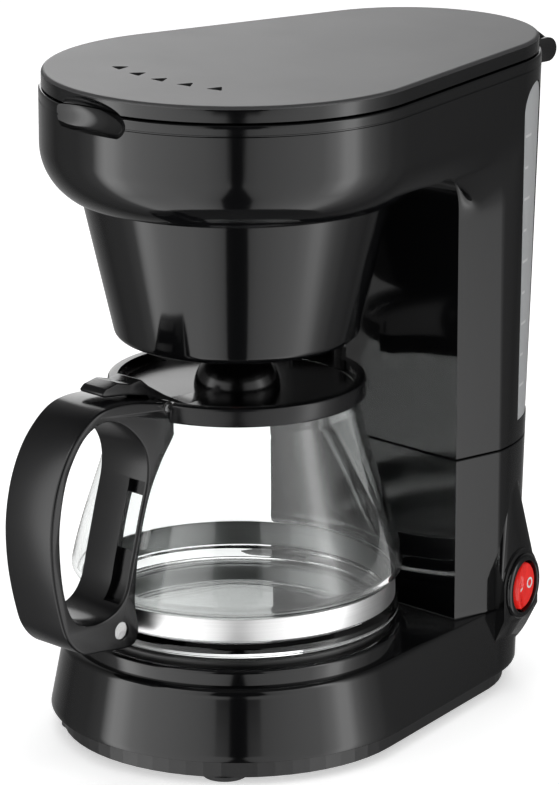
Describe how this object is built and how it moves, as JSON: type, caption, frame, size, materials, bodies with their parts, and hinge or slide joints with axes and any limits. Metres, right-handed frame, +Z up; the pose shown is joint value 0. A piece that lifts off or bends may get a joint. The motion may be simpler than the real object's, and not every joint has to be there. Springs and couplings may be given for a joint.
{
  "type": "drip coffee maker",
  "caption": "Drip coffee maker with a round hinged head over a conical funnel, a water column at the back, and a warming-plate base that holds a glass jug with a loop handle.",
  "frame": {"origin": "centre of the machine's width and depth, on the surface that it stands on", "axes": "+Z up, front of the machine and jug handle towards -Y, switch and level window on +X"},
  "size_m": [0.143, 0.2547, 0.25],
  "materials": {
    "gloss_black": "high-gloss moulded",
    "satin_black": "satin moulded",
    "steel": "bright drawn",
    "jug_glass": "clear blown",
    "window": "translucent grey",
    "plate_enamel": "black enamel",
    "mesh_plastic": "fine mesh and frame",
    "seal_rubber": "moulded",
    "foot_rubber": "moulded",
    "silicone": "translucent hose",
    "pipe_plastic": "natural",
    "cast_aluminium": "as cast",
    "rocker_red": "translucent red",
    "contact_brass": "stamped"
  },
  "bodies": {
    "machine": {"upper_housing": "gloss_black", "lid_hinge_pins": "steel", "level_window": "window", "brew_funnel": "gloss_black", "spray_head": "satin_black", "riser_tube": "pipe_plastic", "tank_seals": "seal_rubber", "check_valve_body": "pipe_plastic", "inlet_hose": "silicone", "outlet_hose": "silicone", "hose_clamps": "steel", "lower_housing": "gloss_black", "plate_ring": "satin_black", "plate_gasket": "seal_rubber", "warming_plate": "plate_enamel", "heater": "cast_aluminium", "heater_strap": "steel", "thermostat": "cast_aluminium", "thermal_fuse": "pipe_plastic", "ring_screws": "steel", "switch_bezel": "gloss_black", "switch_terminals": "contact_brass", "bottom_cover": "satin_black", "rubber_feet": "foot_rubber", "cover_screws": "steel", "cord_gland": "foot_rubber"},
    "lid": {"top_lid": "satin_black"},
    "basket": {"filter_basket": "satin_black", "valve_spring": "steel"},
    "filter": {"permanent_filter": "mesh_plastic"},
    "valve": {"drip_valve": "foot_rubber"},
    "ball": {"check_ball": "steel"},
    "rocker": {"switch_rocker": "rocker_red"},
    "jug": {"carafe_glass": "jug_glass", "carafe_band": "steel", "band_screw": "steel", "carafe_handle": "gloss_black", "carafe_lid_pin": "steel"},
    "jug_lid": {"carafe_lid": "satin_black"}
  },
  "joints": [
    {"name": "lid_hinge", "type": "hinge", "parent": "machine", "child": "lid", "pos_m": [0, 0.1227, 0.238], "axis": [-1, 0, 0], "range_deg": [0, 95]},
    {"name": "basket_lift", "type": "slide", "parent": "machine", "child": "basket", "axis": [0, 0, 1], "range_m": [0, 0.011]},
    {"name": "filter_lift", "type": "slide", "parent": "basket", "child": "filter", "axis": [0, 0, 1], "range_m": [0, 0.003]},
    {"name": "drip_valve_lift", "type": "slide", "parent": "basket", "child": "valve", "axis": [0, 0, 1], "range_m": [0, 0.0022], "stiffness_N_per_m": 50, "springref_m": -0.003, "deforming": ["valve_spring"]},
    {"name": "check_ball_lift", "type": "slide", "parent": "machine", "child": "ball", "axis": [0, 0, 1], "range_m": [0, 0.0018]},
    {"name": "switch_rock", "type": "hinge", "parent": "machine", "child": "rocker", "pos_m": [0.05237, 0.07593, 0.042], "axis": [0, 0, -1], "range_deg": [0, 16]},
    {"name": "jug_slide", "type": "slide", "parent": "machine", "child": "jug", "axis": [0, -1, 0], "range_m": [0, 0.25]},
    {"name": "jug_lid_hinge", "type": "hinge", "parent": "jug", "child": "jug_lid", "pos_m": [0, -0.0703, 0.1337], "axis": [1, 0, 0], "range_deg": [0, 2.5]}
  ]
}
